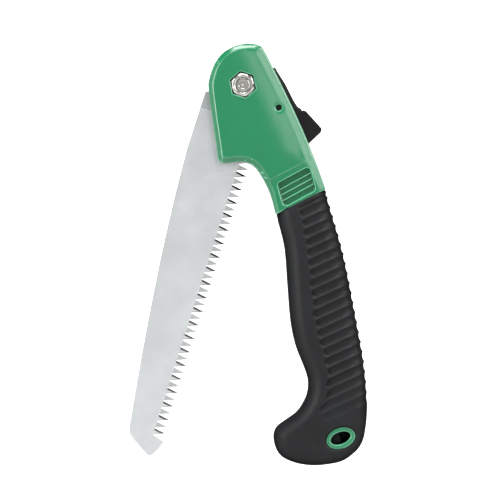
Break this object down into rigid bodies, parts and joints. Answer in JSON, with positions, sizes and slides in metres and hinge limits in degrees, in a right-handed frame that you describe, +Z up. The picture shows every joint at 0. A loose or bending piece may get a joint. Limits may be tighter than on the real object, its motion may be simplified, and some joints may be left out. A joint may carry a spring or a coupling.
{
  "type": "folding pruning saw",
  "caption": "Hand saw whose toothed steel blade folds into the slot of a bent, rubber-gripped plastic handle and locks open or closed with a thumb lever.",
  "frame": {"origin": "on the pivot bolt's axis, midway between the two cheeks of the head", "axes": "+X towards the back of the handle, where the thumb button is; +Y away from the side with the nut; +Z up, from the butt of the handle to its head"},
  "size_m": [0.1345, 0.0236, 0.2375],
  "materials": {
    "green_plastic": "moulded, semi-gloss",
    "grip_rubber": "matte, fine moulded texture",
    "blade_steel": "ground satin",
    "hardware_steel": "bright zinc plate",
    "washer_plastic": "smooth low-friction sheet",
    "pawl_steel": "black oxide",
    "button_plastic": "fine texture",
    "spring_steel": "drawn wire"
  },
  "bodies": {
    "handle": {"handle_core": "green_plastic", "rubber_grip": "grip_rubber", "pivot_bolt": "hardware_steel", "pivot_nut": "hardware_steel", "spring_washer": "hardware_steel", "bolt_washer": "hardware_steel", "front_pivot_washer": "washer_plastic", "rear_pivot_washer": "washer_plastic", "lock_pin": "hardware_steel", "lock_spring": "spring_steel"},
    "blade": {"blade": "blade_steel"},
    "lock_lever": {"lock_pawl": "pawl_steel", "thumb_button": "button_plastic"}
  },
  "joints": [
    {"name": "blade_fold", "type": "hinge", "parent": "handle", "child": "blade", "pos_m": [0, 0, 0], "axis": [0, 1, 0], "range_deg": [-25.5, 154.5]},
    {"name": "lock_lever_pivot", "type": "hinge", "parent": "handle", "child": "lock_lever", "pos_m": [0.02015, 0, -0.0128], "axis": [0, 1, 0], "range_deg": [-6, 3], "deforming": ["lock_spring"]}
  ]
}
